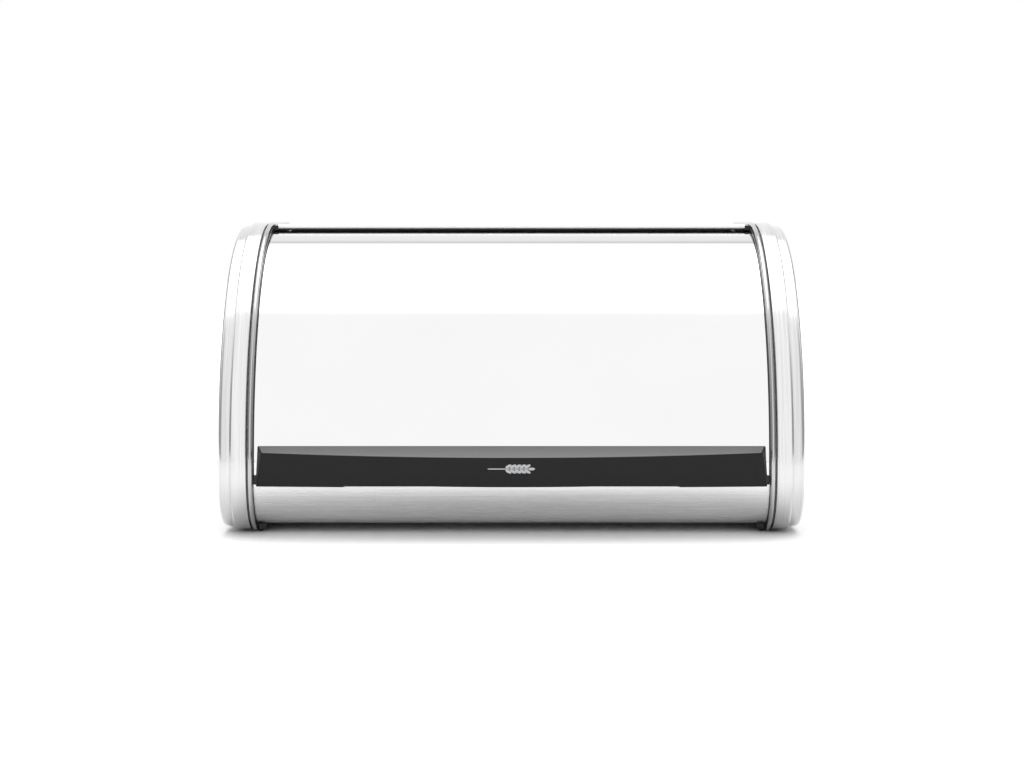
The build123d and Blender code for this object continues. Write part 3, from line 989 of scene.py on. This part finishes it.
# ---------------------------------------------------------------- the lid
@dataclass
class LidSheet:
    """Bright curved sheet with a stiffening fold along its lower edge and notched lower corners."""

    places: Places
    sheet: float = 0.8 * MM
    notch: float = 3.2 * MM
    fold: float = 5 * MM
    fold_end: float = 19 * MM
    rear_edge_angle: float = 91.5
    steps: int = 112
    notch_steps: int = 2

    def build(self, finishes: Finishes) -> Shape:
        """Build and dress the lid sheet.

        Args:
            finishes: The box's finishes.

        Returns:
            The finished piece.
        """
        at = self.places
        low_angle = degrees(asin((at.lid_low_z - at.axis_z) / at.lid_radius))
        start_y, start_z = at.on_circle(at.lid_radius, low_angle)
        half = at.lid_half_width
        fold_y, fold_z = at.on_circle(at.lid_radius - self.fold, low_angle)
        pen = Pen("lid_curve", -half, fold_y, fold_z)
        pen.run(start_y - fold_y, start_z - fold_z)
        pen.arc(at.axis_y, at.axis_z, self.rear_edge_angle - low_angle, self.steps)
        notched = half - self.notch
        folded = half - self.fold_end
        shape = pen.pull((-half, -notched, -folded, folded, notched, half))
        merge_doubles(shape, closed=False)
        step = (self.rear_edge_angle - low_angle) / self.steps
        notch_angle = low_angle + step * self.notch_steps

        def trimmed(middle: Vector, normal: Vector) -> bool:
            angle = degrees(atan2(middle.z - at.axis_z, at.axis_y - middle.y))
            radius = Vector((middle.y - at.axis_y, middle.z - at.axis_z)).length
            on_fold = radius < at.lid_radius - 0.5 * MM
            if on_fold:
                return abs(middle.x) > folded
            return abs(middle.x) > notched and angle < notch_angle

        with editing(shape):
            pick(shape, Part.FACES, trimmed)
            bpy.ops.mesh.delete(type="FACE")
        face_away(shape, Vector((0, at.axis_y, at.axis_z)))
        thicken(shape, self.sheet)
        smooth(shape, 30)
        dress(shape, finishes.lid)
        return place(shape, Body.LID, ["lid_sheet"])


@dataclass
class LidHandle:
    """Moulded handle: bowed front that leans in at the foot, sloping top, drafted ends."""

    places: Places
    bulge: float = 13.3 * MM
    end_bulge: float = 6.6 * MM
    top_slope: float = 25.0
    front_tilt: float = 10.0
    half_length: float = 168.2 * MM
    end_draft: float = 22.0
    end_taper: float = 1.9 * MM
    edge_rounding: float = 0.9 * MM
    scoop_length: float = 220 * MM
    scoop_radius: float = 5 * MM
    lid_gap: float = 0.05 * MM
    # Faces turned this close to the top slope take the painted highlight colour.
    painted_highlight_limit: float = 0.97
    rebate_depth: float = 1.4 * MM
    rebate_height: float = 2.8 * MM
    spare: float = 5 * MM
    blank_depth: float = 30 * MM
    form_length: float = 400 * MM
    end_zone: float = 14 * MM
    scoop_place: tuple[float, float] = (6 * MM, 3 * MM)
    scoop_end_rounding: float = 3 * MM

    def build(self, finishes: Finishes) -> Shape:
        """Build and dress the handle.

        Args:
            finishes: The box's finishes.

        Returns:
            The finished piece.
        """
        shape = self.blank()
        self.trim(shape)
        self.hollow(shape)
        smooth(shape, 30)
        shape.data.materials.append(finishes.handle)
        shape.data.materials.append(finishes.handle_land)
        # Faces along the sloping top get the lighter copy of the plastic, a painted highlight on
        # the handle's top facet.
        painted_highlight_normal = Vector((0, -sin(radians(self.top_slope)), cos(radians(self.top_slope))))
        for face in shape.data.polygons:
            face.material_index = 1 if face.normal.dot(painted_highlight_normal) > self.painted_highlight_limit else 0
        return place(shape, Body.LID, ["lid_handle"])

    @property
    def height(self) -> float:
        """Height of the handle from its foot to the back of its top."""
        return self.places.handle_high_z - self.places.handle_low_z

    @property
    def ridge_z(self) -> float:
        """Height of the front ridge at the middle."""
        return self.places.handle_high_z - self.bulge * tan(radians(self.top_slope))

    def blank(self) -> Shape:
        """The bowed, leaning block that the handle is cut from."""
        at = self.places
        sag = self.bulge - self.end_bulge
        bow = (self.half_length ** 2 + sag ** 2) / (2 * sag)
        lean = tan(radians(self.front_tilt))
        front = at.axis_y - at.lid_radius - self.bulge + (self.ridge_z - at.handle_low_z) * lean
        reach = self.half_length + self.spare
        sweep_angle = asin(reach / bow)
        start = (-reach, front + bow - sqrt(bow ** 2 - reach ** 2), at.handle_low_z)
        bpy.ops.mesh.primitive_plane_add(size=1)
        shape = named(bpy.context.object, "pull_handle")
        with editing(shape):
            bpy.ops.mesh.select_all(action="SELECT")
            bpy.ops.mesh.merge(type="CENTER")
            bpy.ops.transform.translate(value=start)
            centre = (0, front + bow, at.handle_low_z)
            bpy.ops.mesh.spin(steps=72, angle=-2 * sweep_angle, center=centre, axis=(0, 0, 1))
            bpy.ops.mesh.select_all(action="SELECT")
            back = {"value": (0, self.blank_depth, 0)}
            bpy.ops.mesh.extrude_region_move(TRANSFORM_OT_translate=back)
            bpy.ops.transform.resize(value=(1, 0, 1))
            bpy.ops.mesh.select_all(action="SELECT")
            rise = (0, -lean * self.height, self.height)
            bpy.ops.mesh.extrude_region_move(TRANSFORM_OT_translate={"value": rise})
        merge_doubles(shape)
        return shape

    def trim(self, shape: Shape) -> None:
        """Slope the top, draft the ends, hollow the back to the lid and round the edges."""
        at = self.places
        slope = radians(self.top_slope)
        top_y = at.axis_y - sqrt(at.lid_radius ** 2 - (at.handle_high_z - at.axis_z) ** 2)
        slice_off(shape, (0, top_y, at.handle_high_z), (0, -sin(slope), cos(slope)))
        draft = radians(self.end_draft)
        lift = self.end_taper / self.height
        for side in Side:
            normal = Vector((side.value * cos(draft), -sin(draft), lift * cos(draft)))
            slice_off(shape, (side.value * self.half_length, top_y, at.handle_low_z), normal)
        with editing(shape):
            count = pick(shape, Part.EDGES, self.on_front_edge)
            rounding = {"offset": self.edge_rounding, "segments": 5, "clamp_overlap": True}
            bpy.ops.mesh.bevel(affect="EDGES", **rounding)
        log.info("handle edges rounded: %d", count)
        radius = at.lid_radius + self.lid_gap
        form = bar("lid_form", radius, self.form_length, (0, at.axis_y, at.axis_z), (1, 0, 0), 512)
        cut(shape, form)
        front_y = at.axis_y - at.lid_radius - self.rebate_depth
        half = self.form_length / 2
        low = (-half, front_y, at.handle_low_z - self.spare)
        high = (half, front_y + 20 * MM, at.handle_low_z + self.rebate_height)
        cut(shape, block("lip_rebate", low, high))

    def on_front_edge(self, middle: Vector, along: Vector) -> bool:
        """Whether an edge lies on the front face's border or the ends' upper border."""
        at = self.places
        lean = tan(radians(self.front_tilt))
        sag = self.bulge - self.end_bulge
        bow = (self.half_length ** 2 + sag ** 2) / (2 * sag)
        shift = (self.ridge_z - middle.z) * lean
        middle_y = at.axis_y - at.lid_radius - self.bulge + shift
        front = middle_y + bow - sqrt(bow ** 2 - middle.x ** 2)
        on_front = abs(middle.y - front) < 0.15 * MM
        upright = abs(along.z) > abs(along.x)
        at_end = abs(middle.x) > self.half_length - self.end_zone
        if on_front:
            ahead = at.axis_y - at.lid_radius - middle.y
            ridge = at.handle_high_z - ahead * tan(radians(self.top_slope))
            low = abs(middle.z - at.handle_low_z) < 0.1 * MM
            high = abs(middle.z - ridge) < 1.2 * MM
            return (upright and at_end) or (not upright and (low or high))
        return at_end and middle.z > at.handle_high_z - 9 * MM and abs(along.y) > abs(along.x)

    def hollow(self, shape: Shape) -> None:
        """Cut the finger scoop along the underside."""
        at = self.places
        ahead, below = self.scoop_place
        centre = (0, at.axis_y - at.lid_radius - ahead, at.handle_low_z - below)
        scoop = bar("scoop", self.scoop_radius, self.scoop_length, centre, (1, 0, 0), 48)
        with editing(scoop):
            pick(scoop, Part.FACES, lambda middle, normal: abs(normal.x) > 0.9)
            bpy.ops.mesh.bevel(offset=self.scoop_end_rounding, segments=6, affect="EDGES")
        cut(shape, scoop)


@dataclass
class HandleMark:
    """Small ear of wheat printed on the handle's front."""

    places: Places
    handle: LidHandle
    centre_z: float = 46.2 * MM
    length: float = 31 * MM
    stalk_width: float = 0.7 * MM
    grain_long: float = 2.15 * MM
    grain_short: float = 0.95 * MM
    grain_pairs: int = 5
    grain_pitch: float = 3.1 * MM
    first_grain: float = -2 * MM
    grain_offset: float = 1.75 * MM
    grain_turn: float = 28.0
    proud: float = 0.12 * MM

    def build(self, finishes: Finishes) -> Shape:
        """Build and dress the mark.

        Args:
            finishes: The box's finishes.

        Returns:
            The finished piece.
        """
        shapes = [self.stalk()]
        for pair in range(self.grain_pairs):
            x = self.first_grain + self.grain_pitch * pair
            for side in (-1, 1):
                shapes.append(self.grain(x, side * self.grain_offset, side * self.grain_turn))
        shapes.append(self.grain(self.length / 2 - 2.4 * MM, 0.0, 0.0))
        shape = join("wheat_mark", shapes)
        self.lay_on_handle(shape)
        smooth(shape, 30)
        dress(shape, finishes.ink)
        return place(shape, Body.LID, ["handle_mark"])

    def flat_disc(self, name: str, long: float, short: float) -> Shape:
        """A flat oval with a softly rounded upper rim, lying in XY and rising from z = 0."""
        bpy.ops.mesh.primitive_cylinder_add(vertices=32, radius=1, depth=1)
        shape = named(bpy.context.object, name)
        with editing(shape):
            bpy.ops.mesh.select_all(action="SELECT")
            bpy.ops.transform.resize(value=(long, short, self.proud))
            pick(shape, Part.FACES, lambda middle, normal: normal.z > 0.9)
            bpy.ops.mesh.bevel(offset=self.proud * 0.5, segments=2, affect="EDGES")
        return shape

    def stalk(self) -> Shape:
        """The stalk, a thin rounded bar."""
        long = self.length * 0.86
        shape = block(
            "stalk",
            (-self.length / 2, -self.stalk_width / 2, -self.proud / 2),
            (-self.length / 2 + long, self.stalk_width / 2, self.proud / 2),
        )
        with editing(shape):
            pick(
                shape,
                Part.EDGES,
                lambda middle, along: abs(along.z) > abs(along.x) + abs(along.y),
            )
            bpy.ops.mesh.bevel(offset=self.stalk_width * 0.49, segments=5, affect="EDGES")
            pick(shape, Part.FACES, lambda middle, normal: normal.z > 0.9)
            bpy.ops.mesh.bevel(offset=self.proud * 0.4, segments=2, affect="EDGES")
        return shape

    def grain(self, x: float, y: float, turn: float) -> Shape:
        """One grain of the ear at its place."""
        shape = self.flat_disc("grain", self.grain_long, self.grain_short)
        turning = Matrix.Rotation(radians(turn), 4, "Z")
        shape.data.transform(Matrix.Translation((x, y, 0)) @ turning)
        return shape

    def lay_on_handle(self, shape: Shape) -> None:
        """Stand the flat mark up against the handle's leaning front."""
        at = self.places
        tilt = radians(self.handle.front_tilt)
        drop = self.handle.ridge_z - self.centre_z
        face_y = at.axis_y - at.lid_radius - self.handle.bulge + drop * tan(tilt)
        turn = Matrix.Rotation(pi / 2 + tilt, 4, "X")
        shape.data.transform(Matrix.Translation((0, face_y, self.centre_z)) @ turn)


# ---------------------------------------------------------------- mouldings and fasteners
class Fittings:
    """Mouldings and fasteners that keep their frame meshes, each with its finish."""

    def __init__(self, finishes: Finishes) -> None:
        """Sort the frame's nodes by finish.

        Args:
            finishes: The box's finishes.
        """
        sides = [side.word for side in Side]
        self.groups: list[tuple[bpy.types.Material, list[str]]] = [
            (
                finishes.moulding,
                [f"{side}_{piece}" for side in sides for piece in ("front_shoe", "rear_shoe")]
                + ["lid_wiper_strip", "lid_rear_bar"],
            ),
            (finishes.track, [f"{side}_track_frame" for side in sides]),
            (finishes.liner, [f"{side}_side_liner" for side in sides]),
            (finishes.foot, [f"{row}_{side}_foot" for row in ("front", "rear") for side in sides]),
            (
                finishes.plate,
                [f"{side}_{piece}" for side in sides for piece in ("cap_screws", "panel_screws")]
                + ["back_seam_rivets", "foot_screws", "handle_screws", "rear_shoe_rivets"],
            ),
        ]

    def dress_all(self) -> None:
        """Give every node its finish."""
        for finish, nodes in self.groups:
            for node in nodes:
                dress(frame["nodes"][node], finish)
            log.info("%s: %d nodes", finish.name, len(nodes))


# ---------------------------------------------------------------- studio
@dataclass
class Studio:
    """Pale floor, soft light all round and the camera."""

    places: Places
    floor_half: float = 6.0
    backdrop_light: float = 1.0
    wall_light: float = 1.36
    seam_light: float = 1.1
    seam_width: float = 3.6
    overhead_light: float = 5.4
    overhead_edge: float = 3.4
    front_light: float = 1.7
    overhead_start: float = 38.6
    overhead_end: float = 99.8
    side_levels: tuple[tuple[float, float], ...] = (
        (0.0, 1.0),
        (0.3, 1.0),
        (0.62, 0.45),
        (1.0, 0.3),
    )
    camera_distance: float = 1.536
    camera_height: float = 0.2085
    camera_side: float = 0.0003
    camera_tilt: float = 4.0
    lens: float = 83.24

    def build(self, finishes: Finishes) -> None:
        """Set up floor, light and camera.

        Args:
            finishes: The finishes, of which the floor takes one.
        """
        self.lay_floor(finishes)
        self.light()
        self.set_camera()
        bpy.context.scene.view_settings.view_transform = "Standard"
        bpy.context.scene.view_settings.look = "None"
        bpy.context.scene.view_settings.exposure = 0.0
        bpy.context.scene.view_settings.gamma = 1.0

    def lay_floor(self, finishes: Finishes) -> None:
        """Lay the floor at the height that the feet stand on."""
        bpy.ops.mesh.primitive_plane_add(size=2 * self.floor_half)
        floor = named(bpy.context.object, "floor")
        with editing(floor):
            bpy.ops.mesh.select_all(action="SELECT")
            bpy.ops.mesh.subdivide(number_cuts=3)
        dress(floor, finishes.floor)

    def light(self) -> None:
        """A soft surround: plain rear wall, ceiling over the back, paler front room, dim sides.

        The camera itself sees a plain backdrop instead.
        """
        world = bpy.data.worlds.new("studio")
        bpy.context.scene.world = world
        world.use_nodes = True
        tree = world.node_tree
        tree.nodes.clear()
        output = tree.nodes.new("ShaderNodeOutputWorld")
        room = tree.nodes.new("ShaderNodeBackground")
        backdrop = tree.nodes.new("ShaderNodeBackground")
        backdrop.inputs["Color"].default_value = (1, 1, 1, 1)
        backdrop.inputs["Strength"].default_value = self.backdrop_light
        rays = tree.nodes.new("ShaderNodeLightPath")
        choose = tree.nodes.new("ShaderNodeMixShader")
        tree.links.new(rays.outputs["Is Camera Ray"], choose.inputs[0])
        tree.links.new(room.outputs["Background"], choose.inputs[1])
        tree.links.new(backdrop.outputs["Background"], choose.inputs[2])
        tree.links.new(choose.outputs["Shader"], output.inputs["Surface"])
        direction = tree.nodes.new("ShaderNodeTexCoord")
        split = tree.nodes.new("ShaderNodeSeparateXYZ")
        tree.links.new(direction.outputs["Generated"], split.inputs["Vector"])
        angle = self.compute(tree, "ARCTAN2", split.outputs["Z"], split.outputs["Y"])
        share = tree.nodes.new("ShaderNodeMapRange")
        share.inputs["From Max"].default_value = pi
        tree.links.new(angle, share.inputs["Value"])
        levels = self.ramp(tree, share.outputs["Result"], self.room_levels(), 180.0)
        aside = self.compute(tree, "ABSOLUTE", split.outputs["X"])
        dimming = self.ramp(tree, aside, self.side_levels, 1.0)
        product = self.compute(tree, "MULTIPLY", levels, dimming)
        scaled = self.compute(tree, "MULTIPLY", product)
        scaled.node.inputs[1].default_value = max(level for _, level in self.room_levels())
        tree.links.new(scaled, room.inputs["Strength"])

    @staticmethod
    def compute(tree: bpy.types.NodeTree, operation: str, *values: Socket) -> Socket:
        """Add a math node that works on the values, and give its output."""
        node = tree.nodes.new("ShaderNodeMath")
        node.operation = operation
        for value, target in zip(values, node.inputs):
            tree.links.new(value, target)
        return node.outputs[0]

    def room_levels(self) -> list[tuple[float, float]]:
        """Light of the room by angle, from the rear horizon over the top to the front horizon."""
        start, end = self.overhead_start, self.overhead_end
        return [
            (0.0, self.wall_light),
            (start - self.seam_width, self.wall_light),
            (start - self.seam_width + 0.3, self.seam_light),
            (start, self.seam_light),
            (start + 0.3, self.overhead_edge * 0.55),
            (start + 12.0, self.overhead_light * 0.75),
            (start + 22.0, self.overhead_light),
            (end - 16.0, self.overhead_edge),
            (end, self.overhead_edge),
            (end + 0.5, self.front_light),
            (180.0, self.front_light),
        ]

    @staticmethod
    def ramp(
        tree: bpy.types.NodeTree,
        value: Socket,
        levels: Sequence[tuple[float, float]],
        span: float,
    ) -> Socket:
        """Grey levels along a value.

        Args:
            tree: The world's node tree.
            value: Socket to look the level up by, from 0 to 1.
            levels: Stops and their levels.
            span: The stop that stands for 1.

        Returns:
            The level's socket, where 1 is the brightest level.
        """
        node = tree.nodes.new("ShaderNodeValToRGB")
        elements = node.color_ramp.elements
        while len(elements) < len(levels):
            elements.new(0.5)
        brightest = max(level for _, level in levels)
        for element, (stop, level) in zip(elements, levels):
            element.position = stop / span
            element.color = (level / brightest,) * 3 + (1,)
        tree.links.new(value, node.inputs["Fac"])
        return node.outputs["Color"]

    def set_camera(self) -> None:
        """Stand the camera in front, looking slightly down."""
        at = self.places
        data = bpy.data.cameras.new("camera")
        camera = bpy.data.objects.new("camera", data)
        bpy.context.scene.collection.objects.link(camera)
        data.lens = self.lens
        data.sensor_width = 36.0
        data.clip_start = 0.05
        data.clip_end = 100.0
        front_y = at.axis_y - at.band_radius
        camera.location = (self.camera_side, front_y - self.camera_distance, self.camera_height)
        camera.rotation_euler = (radians(90 - self.camera_tilt), 0, 0)
        bpy.context.scene.camera = camera


def main() -> None:
    """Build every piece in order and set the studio."""
    places = Places.from_frame()
    finishes = Finishes()
    for side in Side:
        EndCap(places, side).build(finishes)
        EdgeBead(places, side).build(finishes)
    BasePan(places).build(finishes)
    BackAndTop(places).build(finishes)
    LidSheet(places).build(finishes)
    handle = LidHandle(places)
    handle.build(finishes)
    HandleMark(places, handle).build(finishes)
    Fittings(finishes).dress_all()
    Studio(places).build(finishes)


if __name__ == "__main__":
    main()
